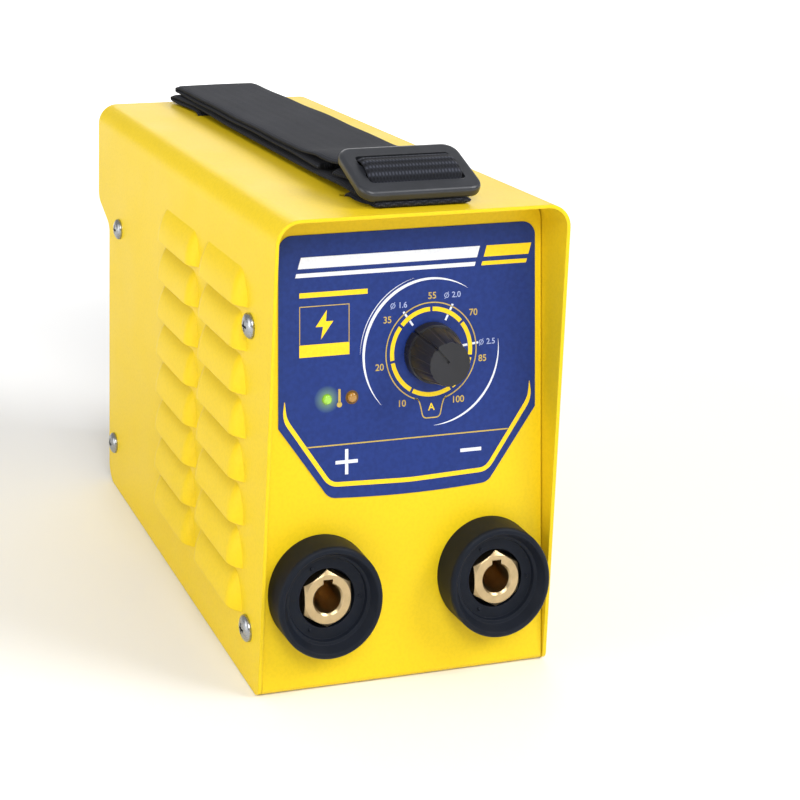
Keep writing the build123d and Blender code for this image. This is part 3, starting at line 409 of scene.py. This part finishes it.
# ------------------------------------------------------------------ mesh tools
def new_piece(name, mesh_or_bmesh, material, body):
    mesh = mesh_or_bmesh
    if isinstance(mesh_or_bmesh, bmesh.types.BMesh):
        mesh = bpy.data.meshes.new(name)
        mesh_or_bmesh.normal_update()
        mesh_or_bmesh.to_mesh(mesh)
        mesh_or_bmesh.free()
    piece = bpy.data.objects.new(name, mesh)
    bpy.context.scene.collection.objects.link(piece)
    mesh.materials.append(material)
    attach(piece, body)
    return piece


INK = 0.05 * MM


def printed(name, outlines, material):
    """Flat printed shapes on the label. Each outline is a closed loop of (x, z) points, given a
    hair of thickness."""
    bm = bmesh.new()
    for outline in outlines:
        front = [bm.verts.new((x, label_y - INK, z)) for x, z in outline]
        back = [bm.verts.new((x, label_y, z)) for x, z in outline]
        bm.faces.new(front)
        bm.faces.new(list(reversed(back)))
        for i in range(len(outline)):
            j = (i + 1) % len(outline)
            bm.faces.new((front[j], front[i], back[i], back[j]))
    bmesh.ops.recalc_face_normals(bm, faces=bm.faces)
    bmesh.ops.triangulate(bm, faces=[face for face in bm.faces if len(face.verts) > 4])
    return new_piece(name, bm, material, "case")


def ring_band(centre, inner, outer, start, end, taper=False):
    """Outline of an arc band, with angles in degrees clockwise from straight up. A tapered band
    thins out at both ends."""
    steps = max(6, int(abs(end - start) / 3))
    outside, inside = [], []
    for i in range(steps + 1):
        share = i / steps
        angle = math.radians(start + (end - start) * share)
        fade = math.sin(math.pi * share) ** 0.7 if taper else 1.0
        middle = (inner + outer) / 2
        half = (outer - inner) / 2 * max(fade, 0.06)
        across, upward = math.sin(angle), math.cos(angle)
        for side, radius in ((outside, middle + half), (inside, middle - half)):
            side.append((centre.x + across * radius, centre.z + upward * radius))
    return outside + inside[::-1]


def stroke(points, width):
    """Outline of a line with mitred corners through the given (x, z) points."""
    left, right = [], []
    for i, (x, z) in enumerate(points):
        before = Vector(points[max(i - 1, 0)])
        after = Vector(points[min(i + 1, len(points) - 1)])
        here = Vector((x, z))
        into = (here - before).normalized() if i > 0 else (after - here).normalized()
        out = (after - here).normalized() if i < len(points) - 1 else into
        normal = Vector((-(into + out).y, (into + out).x)).normalized()
        spread = width / 2 / max(0.4, normal.dot(Vector((-into.y, into.x))))
        left.append(tuple(here + normal * spread))
        right.append(tuple(here - normal * spread))
    return left + right[::-1]


def rounded(points, cut):
    """The same line with each inner corner replaced by a short curve that starts the given
    distance before it."""
    line = [points[0]]
    for before, corner, after in zip(points, points[1:], points[2:]):
        corner = Vector(corner)
        enter = corner + (Vector(before) - corner).normalized() * cut
        leave = corner + (Vector(after) - corner).normalized() * cut
        for i in range(6):
            t = i / 5
            line.append(tuple(enter * (1 - t) ** 2 + corner * 2 * t * (1 - t) + leave * t**2))
    line.append(points[-1])
    return line


def rectangle(x, z, width, height):
    return [
        (x - width / 2, z - height / 2),
        (x + width / 2, z - height / 2),
        (x + width / 2, z + height / 2),
        (x - width / 2, z + height / 2),
    ]


def dial_point(angle, radius):
    turn = math.radians(angle)
    return dial.x + radius * math.sin(turn), dial.z + radius * math.cos(turn)


def printed_text(name, words, x, z, size, material):
    """Generic figures on the dial, as a mesh a hair thick."""
    curve = bpy.data.curves.new(name, "FONT")
    curve.body = words
    curve.size = size
    curve.align_x = "CENTER"
    curve.align_y = "CENTER"
    curve.extrude = INK / 2
    curve.offset = size * 0.012
    holder = bpy.data.objects.new(name + "_curve", curve)
    bpy.context.scene.collection.objects.link(holder)
    bpy.context.view_layer.update()
    evaluated = holder.evaluated_get(bpy.context.evaluated_depsgraph_get())
    mesh = bpy.data.meshes.new_from_object(evaluated)
    bpy.data.objects.remove(holder)
    upright = Matrix.Rotation(math.pi / 2, 4, "X")
    mesh.transform(Matrix.Translation((x, label_y - INK / 2, z)) @ upright)
    mesh.materials.clear()
    return new_piece(name, mesh, material, "case")


# ------------------------------------------------------------------ printing on the label
def print_dial_ring():
    """Dashed current ring, and its fine outline with a tab at the foot for the unit."""
    ring = 13.7 * MM
    ring_half = 0.7 * MM
    first_dash = -150.0
    sweep = 50.0
    last_sweep = 60.0
    gap_half = 1.8
    dash_count = 7
    dashes = []
    for i in range(dash_count):
        start = first_dash + i * sweep
        end = start + (last_sweep if i == dash_count - 1 else sweep)
        inner, outer = ring - ring_half, ring + ring_half
        dashes.append(ring_band(dial, inner, outer, start + gap_half, end - gap_half))
    printed("dial_ring", dashes, yellow_ink)

    outline = 15.8 * MM
    tab_half = 17.0             # degrees
    steps = 72
    step = (360 - 2 * tab_half) / steps
    points = [dial_point(180 + tab_half + i * step, outline) for i in range(steps + 1)]
    tab_low = dial.z - outline - 5.4 * MM
    shoulder = 4.1 * MM
    foot = 2.9 * MM
    corners = [points[-1], (dial.x + shoulder, dial.z - outline), (dial.x + foot, tab_low)]
    corners += [(dial.x - foot, tab_low), (dial.x - shoulder, dial.z - outline), points[0]]
    closed = points[:-1] + rounded(corners, 1.4 * MM) + points[1:2]
    printed("dial_outline", [stroke(closed, 0.36 * MM)], pale_yellow_ink)
    printed_text("figure_amps", "A", dial.x, dial.z - outline - 2.0 * MM, 3.3 * MM, yellow_ink)


def print_dial_figures():
    """Ticks inside and outside the ring, the currents round it and the rod sizes at the ticks."""
    ticks = []
    for angle in (-36, 27, 84):
        for near, far in ((10.9, 12.8), (14.5, 16.6)):
            ticks.append(stroke([dial_point(angle, near * MM), dial_point(angle, far * MM)], 0.7 * MM))
    printed("dial_ticks", ticks, white_ink)

    # each figure with its angle round the dial and its distance from the middle in millimetres
    for words, angle, radius in (
        ("10", -147, 19.0),
        ("20", -102, 18.4),
        ("35", -54, 18.9),
        ("55", 1, 17.9),
        ("70", 52, 18.8),
        ("85", 101, 18.4),
        ("100", 150, 18.6),
    ):
        x, z = dial_point(angle, radius * MM)
        printed_text("figure_" + words, words, x, z, 3.0 * MM, pale_yellow_ink)

    # rod sizes, each with a drawn diameter sign in front
    diameter_signs = []
    for words, angle, radius in (("1.6", -35, 19.0), ("2.0", 24, 19.4), ("2.5", 85, 20.2)):
        x, z = dial_point(angle, radius * MM)
        printed_text("rod_" + words.replace(".", "_"), words, x + 0.9 * MM, z, 2.6 * MM, lilac_ink)
        sign = Vector((x - 2.5 * MM, 0, z))
        for start in (1, 181):
            diameter_signs.append(ring_band(sign, 0.6 * MM, 0.85 * MM, start, start + 178))
        slash = [(sign.x - 0.7 * MM, sign.z - 1.1 * MM), (sign.x + 0.7 * MM, sign.z + 1.1 * MM)]
        diameter_signs.append(stroke(slash, 0.22 * MM))
    printed("diameter_signs", diameter_signs, lilac_ink)


def print_sweeping_arcs():
    """Tapered white arcs round the whole dial."""
    arcs = [
        ring_band(dial, 23.0 * MM, 24.0 * MM, -132, 33, taper=True),
        ring_band(dial, 24.6 * MM, 24.85 * MM, -88, -14, taper=True),
        ring_band(dial, 23.4 * MM, 24.1 * MM, 84, 178, taper=True),
    ]
    printed("sweeping_arcs", arcs, white_ink)


def print_frame_lines():
    """Yellow line along the label's lower edge, the fine rule above the socket signs, and the signs."""
    centre = (label_low.x + label_high.x) / 2
    side = 42.6 * MM
    foot = 27.2 * MM
    bottom = label_low.z + 1.0 * MM
    side_top = bottom + 31.5 * MM
    side_low = bottom + 26.0 * MM
    lower = bottom + 4.2 * MM
    corners = [(centre - side, side_top), (centre - side, side_low), (centre - foot, lower)]
    corners += [(centre, lower - 0.9 * MM)]
    corners += [(centre + foot, lower), (centre + side, side_low), (centre + side, side_top)]
    line = rounded(corners, 2.6 * MM)
    left, right = [], []
    for i, (x, z) in enumerate(line):
        before = Vector(line[max(i - 1, 0)])
        after = Vector(line[min(i + 1, len(line) - 1)])
        along = (after - before).normalized()
        # the line thins out to a point at its upper ends
        width = 0.15 if i in (0, len(line) - 1) else min(1.45, 0.7 + 0.16 * min(i, len(line) - 1 - i))
        normal = Vector((-along.y, along.x)) * width / 2 * MM
        left.append((x + normal.x, z + normal.y))
        right.append((x - normal.x, z - normal.y))
    printed("lower_line", [left + right[::-1]], yellow_ink)

    rule = label_low.z + 17.6 * MM
    printed("fine_rule", [rectangle(centre - 0.2 * MM, rule, 70 * MM, 0.4 * MM)], pale_yellow_ink)
    sign = label_low.z + 12.0 * MM
    plus_x = centre - 21.6 * MM
    minus_x = centre + 21.6 * MM
    signs = [
        rectangle(plus_x, sign, 7.6 * MM, 1.1 * MM),
        rectangle(plus_x, sign + 2.3 * MM, 1.1 * MM, 3.4 * MM),
        rectangle(plus_x, sign - 2.3 * MM, 1.1 * MM, 3.4 * MM),
        rectangle(minus_x, sign, 7.4 * MM, 1.1 * MM),
    ]
    printed("plus_and_minus", signs, white_ink)


def slanted_stripe(x, z, width, height):
    """Outline of a stripe from x to the right, centred on height z, with both ends slanted."""
    slant = 0.3
    half = height / 2
    lean = height * slant / 2
    low_right = x + width - lean
    return [
        (x - lean, z - half),
        (low_right, z - half),
        (low_right + 2 * lean, z + half),
        (x + lean, z + half),
    ]


marks_left = label_low.x + 7.0 * MM


def print_title():
    """A broad and a narrow slanted stripe with yellow ends, and a rule, in place of any name."""
    title = label_high.z - 8.8 * MM
    long_stripe = 62.0 * MM
    end_stripe = 16.0 * MM
    gap = 2.4 * MM
    # each stripe's step to the left and down from the title's middle line, and its height
    rows = ((0.0, 0.0, 3.6 * MM), (1.2 * MM, 3.9 * MM, 1.3 * MM))
    stripes = []
    ends = []
    for back, down, height in rows:
        start = marks_left - back
        stripes.append(slanted_stripe(start, title - down, long_stripe, height))
        ends.append(slanted_stripe(start + long_stripe + gap, title - down, end_stripe, height))
    printed("title_stripes", stripes, white_ink)
    printed("title_end", ends, yellow_ink)
    rule = rectangle(marks_left + 11.6 * MM, title - 10.2 * MM, 23.2 * MM, 1.6 * MM)
    printed("title_rule", [rule], yellow_ink)


def print_badge():
    """A bolt in a square over a bar, in place of any badge."""
    square = 17.0 * MM
    height = 12.0 * MM
    line_width = 0.25 * MM
    bar_height = 3.9 * MM
    bar_drop = 2.0 * MM         # middle of the bar under the frame's open foot
    middle = marks_left + square / 2
    square_top = label_high.z - 22.6 * MM
    frame_z = square_top - height / 2
    sides = [rectangle(middle, square_top, square, line_width)]
    for side in (-1, 1):
        side_x = middle + side * (square / 2 - line_width / 2)
        sides.append(rectangle(side_x, frame_z, line_width, height - line_width))
    printed("badge_frame", sides, pale_yellow_ink)
    bar = rectangle(middle, square_top - height - bar_drop, square, bar_height)
    printed("badge_bar", [bar], yellow_ink)
    bolt = [(0.8, 4.6), (-3.0, -0.6), (-0.5, -0.6), (-1.2, -4.6), (3.0, 1.0), (0.5, 1.0)]
    shape = [(middle + x * MM, frame_z + z * MM) for x, z in bolt]
    printed("badge_bolt", [shape], yellow_ink)


def print_light_marks():
    """A thermometer between the lights, and a ring round the overheat light."""
    between = (power_high.x + heat_low.x) / 2
    height_z = (power_low.z + power_high.z) / 2
    bulb_z = height_z - 2.0 * MM
    bulb_radius = 0.9 * MM
    bulb = []
    for i in range(12):
        bulb.append((between + bulb_radius * math.sin(i / 2), bulb_z + bulb_radius * math.cos(i / 2)))
    thermometer = [rectangle(between, height_z + 0.8 * MM, 0.8 * MM, 4.2 * MM), bulb]
    printed("thermometer", thermometer, pale_yellow_ink)
    light = (heat_low + heat_high) / 2
    ring = [ring_band(light, 1.72 * MM, 2.2 * MM, start, start + 178) for start in (1, 181)]
    printed("overheat_ring", ring, brown_ink)


print_dial_ring()
print_dial_figures()
print_sweeping_arcs()
print_frame_lines()
print_title()
print_badge()
print_light_marks()


# ------------------------------------------------------------------ carrying strap
def catmull_rom(p, q, r, s, t):
    """Value between q (t = 0) and r (t = 1), with p before them and s after."""
    square = (2 * p - 5 * q + 4 * r - s) * t**2
    cube = (3 * q - p - 3 * r + s) * t**3
    return 0.5 * (2 * q + (r - p) * t + square + cube)


def smooth_path(points, spacing):
    """Even points along a Catmull-Rom curve through the given (y, z) points."""
    fine = []
    ends = [points[0]] + list(points) + [points[-1]]
    steps = 12
    for four in zip(ends, ends[1:], ends[2:], ends[3:]):
        for i in range(steps):
            t = i / steps
            fine.append(tuple(catmull_rom(*values, t) for values in zip(*four)))
    fine.append(points[-1])
    even = [Vector(fine[0])]
    for point in fine[1:]:
        gap = Vector(point) - even[-1]
        while gap.length >= spacing:
            even.append(even[-1] + gap.normalized() * spacing)
            gap = Vector(point) - even[-1]
    even.append(Vector(fine[-1]))
    return even


def ribbon(
    name, points, width, thickness, material, wave=0.0, skew=0.0, pinched=None, drift=None, thin=None
):
    """Webbing along a side-view path: a closed band with rounded selvedges, slightly wavy.
    pinched = (y where it is narrowest, y where it is at full width again, narrow width).
    drift = (y where it starts to wander sideways, y where it has, how far).
    thin = (y of the thin end, y of full thickness, thickness at the thin end)."""
    path = smooth_path(points, 0.8 * MM)
    lanes = 18
    bm = bmesh.new()
    uv = bm.loops.layers.uv.new("UVMap")
    section = [(share / lanes - 0.5, 1) for share in range(lanes + 1)]
    section += [(0.5 - share / lanes, -1) for share in range(lanes + 1)]
    rings = []
    travelled = 0.0
    for i, here in enumerate(path):
        before = path[max(i - 1, 0)]
        after = path[min(i + 1, len(path) - 1)]
        along = (after - before).normalized()
        normal = Vector((-along.y, along.x))
        travelled += (here - before).length
        wide = width
        gathers = 0.0
        shift = 0.0
        deep = thickness
        if drift:
            shift = drift[2] * min(1.0, max(0.0, (here.x - drift[0]) / (drift[1] - drift[0])))
        if thin:
            share = min(1.0, max(0.0, (here.x - thin[0]) / (thin[1] - thin[0])))
            deep = thin[2] + (thickness - thin[2]) * share
        if pinched:
            share = min(1.0, max(0.0, (here.x - pinched[0]) / (pinched[1] - pinched[0])))
            ease = share * share * (3 - 2 * share)
            wide = pinched[2] + (width - pinched[2]) * ease
            gathers = 0.75 * MM * math.sin(math.pi * share) ** 2
        ring = []
        for across, side in section:
            edge = min(1.0, (0.5 - abs(across)) * width / (thickness * 0.55))
            half = deep / 2 * (0.35 + 0.65 * math.sqrt(max(edge, 0.0)))
            x = strap_x + shift + across * wide + skew * math.sin(travelled / (31 * MM))
            swell = math.sin(travelled / (23 * MM) + 1.3)
            sway = wave * math.sin(travelled / (9 * MM) + across * 2.6) * swell
            sway += gathers * math.sin(across * 15 + travelled / (14 * MM))
            spot = here + normal * (side * half + sway)
            ring.append((bm.verts.new((x, spot.x, spot.y)), travelled, across * width))
        rings.append(ring)
    count = len(section)

    def face(corners):
        made = bm.faces.new([corner[0] for corner in corners])
        made.smooth = True
        for loop, corner in zip(made.loops, corners):
            loop[uv].uv = (corner[1], corner[2])

    for first, second in zip(rings, rings[1:]):
        for i in range(count):
            j = (i + 1) % count
            face((first[i], first[j], second[j], second[i]))
    for ring, flip in ((rings[0], False), (rings[-1], True)):
        for i in range(lanes):
            corners = (ring[i], ring[i + 1], ring[count - 2 - i], ring[count - 1 - i])
            face(corners[::-1] if not flip else corners)
    bmesh.ops.recalc_face_normals(bm, faces=bm.faces)
    return new_piece(name, bm, material, "case")


def build_strap():
    """Lower webbing between the two slots, folded at both ends, and the upper webbing, which lies
    on it in two layers and is threaded through the buckle."""
    top = case_high.z
    thickness = 1.7 * MM
    bar_z = (bar_low.z + bar_high.z) / 2
    front_slot = bar_low.y + (bar_high.z - bar_low.z) / 2
    rear_slot = bar_high.y - (bar_high.z - bar_low.z) / 2
    loop = 3.2 * MM
    first = top + 0.35 * MM + thickness / 2
    step = 1.85 * MM
    front = case_low.y + 5.2 * MM
    rear = case_high.y - 3.4 * MM
    second, third, fourth = first + step, first + 2 * step, first + 3 * step

    def bar_loop(slot, side):
        """From the slot's mouth down round the bar, ending where it is sewn to itself."""
        return [
            (slot, top - 2 * MM),
            (slot - side * 0.4 * MM, bar_z + 3.4 * MM),
            (slot - side * loop, bar_z),
            (slot, bar_z - loop),
            (slot + side * loop, bar_z),
            (slot + side * 2.3 * MM, bar_z + 3.2 * MM),
        ]

    # under the buckle's lower rim both layers are pulled thin
    flat = 0.95 * MM
    low_layer = top + 0.2 * MM + flat / 2
    lower = list(reversed(bar_loop(rear_slot, 1)))
    lower += [(rear_slot + 1 * MM, top + 0.2 * MM), (rear_slot + 6 * MM, first), (rear - 4 * MM, first)]
    lower += [(rear + 0.6 * MM, first + step * 0.45), (rear - 4 * MM, second)]
    lower += [(rear_slot - 12 * MM, second - 0.4 * MM), (rear_slot - 40 * MM, second - 0.9 * MM)]
    lower += [(front_slot + 30 * MM, second - 0.9 * MM), (front_slot + 6 * MM, second - 0.3 * MM)]
    lower += [(front_slot - 6 * MM, second - 0.5 * MM), (front + 7 * MM, low_layer + flat)]
    lower += [(front + 2.4 * MM, low_layer + flat), (front + 0.7 * MM, low_layer + flat / 2)]
    lower += [(front + 2.4 * MM, low_layer), (front + 8 * MM, low_layer)]
    lower += [(front_slot - 4 * MM, first - 0.2 * MM), (front_slot - 0.8 * MM, top + 0.2 * MM)]
    lower += bar_loop(front_slot, -1)
    first_piece = ribbon(
        "strap_lower",
        lower,
        strap_width - 0.8 * MM,
        thickness,
        strap_cloth,
        pinched=(front + 5 * MM, front_slot - 1 * MM, 32.6 * MM),
        drift=(rear_slot + 3 * MM, rear, -2.4 * MM),
        thin=(front + 6 * MM, front_slot - 2 * MM, flat),
    )

    # the buckle's slope, from its box: a plate of known thickness leaning back
    plate = 4.0 * MM
    lean = math.radians(25)
    low_rim = Vector((buckle_low.y, buckle_low.z)) + plate / 2 * Vector((0, math.cos(lean)))
    reach = Vector((math.cos(lean), math.sin(lean)))
    out = Vector((-math.sin(lean), math.cos(lean)))

    def on_buckle(up, off):
        """Point the given distances up the buckle's slope and off its middle plane."""
        spot = low_rim + reach * up * MM + out * off * MM
        return spot.x, spot.y

    threaded = [
        (front_slot + 22 * MM, third - 0.1 * MM),
        (front_slot + 36 * MM, third),
        (rear - 60 * MM, third + 0.1 * MM),
        (rear - 5 * MM, third + 0.05 * MM),
        (rear - 1.2 * MM, third + 0.2 * MM),
        (rear + 0.4 * MM, (third + fourth) / 2),
        (rear - 1.2 * MM, fourth - 0.1 * MM),
        (rear - 6 * MM, fourth),
        (rear - 60 * MM, fourth + 0.1 * MM),
        (front_slot + 52 * MM, fourth + 0.1 * MM),
        (front_slot + 34 * MM, fourth + 0.5 * MM),
        (front_slot + 22 * MM, fourth + 2.0 * MM),
        on_buckle(20.2, -3.4),
        on_buckle(17.8, -1.2),
        on_buckle(16.3, 1.9),
        on_buckle(12.2, 3.0),
        on_buckle(8.1, 1.9),
        on_buckle(6.8, -1.2),
        on_buckle(8.4, -3.5),
        on_buckle(13.0, -4.4),
        (front_slot + 11 * MM, third + 0.1 * MM),
    ]
    narrow = (buckle_high.y - 2 * MM, buckle_high.y + 22 * MM, 32.2 * MM)
    second_piece = ribbon(
        "strap_upper",
        threaded,
        strap_width - 0.4 * MM,
        thickness,
        strap_cloth,
        wave=0.24 * MM,
        skew=0.25 * MM,
        pinched=narrow,
    )
    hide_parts("carrying_strap")
    return first_piece, second_piece


build_strap()


# ------------------------------------------------------------------ stage, light and camera
def build_stage():
    bm = bmesh.new()
    bmesh.ops.create_grid(bm, x_segments=1, y_segments=1, size=6)
    mesh = bpy.data.meshes.new("floor")
    bm.to_mesh(mesh)
    bm.free()
    floor = bpy.data.objects.new("floor", mesh)
    bpy.context.scene.collection.objects.link(floor)
    floor.location.z = min(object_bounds()[0][2], 0.0) - 0.0002
    m = Nodes("pale_floor")
    pale = m.ramp(m.noise(3.0), [(0.3, (0.9, 0.9, 0.9)), (0.7, (0.93, 0.93, 0.93))])
    m.link(pale, m.shader.inputs["Base Color"])
    m.set(Roughness=0.8, Specular_IOR_Level=0.2)
    place = m.add("ShaderNodeTexCoord")
    reach = m.add("ShaderNodeVectorMath", operation="LENGTH")
    m.link(place.outputs["Object"], reach.inputs[0])
    # far from the object the floor glows, so that it runs into the white background without a line
    distance = m.maths("DIVIDE", reach.outputs["Value"], 2.0)
    lift = m.ramp(distance, [(0.15, (0,) * 3), (0.5, (0.45,) * 3)])
    m.shader.inputs["Emission Color"].default_value = (1, 1, 1, 1)
    m.link(lift, m.shader.inputs["Emission Strength"])
    mesh.materials.append(m.material)


def area_light(name, place, target, size, power, colour=(1, 1, 1)):
    data = bpy.data.lights.new(name, "AREA")
    data.shape = "RECTANGLE"
    data.size, data.size_y = size
    data.energy = power
    data.color = colour
    light = bpy.data.objects.new(name, data)
    light.location = place
    light.rotation_euler = (Vector(target) - Vector(place)).to_track_quat("-Z", "Y").to_euler()
    bpy.context.scene.collection.objects.link(light)


def build_light():
    """White surroundings, a soft sun from the right that puts the strap's shadow on the cover,
    and three fills."""
    world = bpy.data.worlds.new("studio")
    world.use_nodes = True
    tree = world.node_tree
    background = tree.nodes["Background"]
    rays = tree.nodes.new("ShaderNodeLightPath")
    strength = tree.nodes.new("ShaderNodeMapRange")
    strength.inputs["To Min"].default_value = 0.44
    strength.inputs["To Max"].default_value = 1.0
    tree.links.new(rays.outputs["Is Camera Ray"], strength.inputs["Value"])
    tree.links.new(strength.outputs["Result"], background.inputs["Strength"])
    background.inputs["Color"].default_value = (1, 1, 1, 1)
    bpy.context.scene.world = world
    sun = bpy.data.lights.new("sun", "SUN")
    sun.energy = 1.55
    sun.angle = math.radians(24)
    lamp = bpy.data.objects.new("sun", sun)
    lamp.rotation_euler = Vector((0.6, -0.44, 0.6)).to_track_quat("Z", "Y").to_euler()
    bpy.context.scene.collection.objects.link(lamp)
    target = (0, 0, 0.08)
    area_light("front_key", (-0.25, -1.1, 0.95), target, (0.6, 0.5), 10.0)
    area_light("left_fill", (-1.2, -0.1, 0.4), target, (0.8, 0.8), 5.0)
    area_light("back_fill", (0.5, 1.1, 0.7), target, (0.9, 0.7), 4.0)
    bpy.context.scene.view_settings.view_transform = "Standard"


def build_camera():
    """Level camera to the front left, with a shifted lens so that upright edges stay upright."""
    data = bpy.data.cameras.new("camera")
    camera = bpy.data.objects.new("camera", data)
    bpy.context.scene.collection.objects.link(camera)
    camera.location = (-0.2273, -0.5352, 0.2724)
    camera.rotation_euler = (math.radians(90), 0, math.radians(-12.86))
    data.sensor_width = 36.0
    data.lens = 68.9
    data.clip_start = 0.01
    # the shift holds only while the camera keeps its own Euler rotation, so other views are unshifted
    for channel, amount in (("shift_x", 0.468), ("shift_y", -0.716)):
        driver = data.driver_add(channel).driver
        variable = driver.variables.new()
        variable.name = "mode"
        variable.targets[0].id = camera
        variable.targets[0].data_path = "rotation_mode"
        driver.expression = f"{amount} * (mode > 0)"
    bpy.context.scene.camera = camera


build_stage()
build_light()
build_camera()
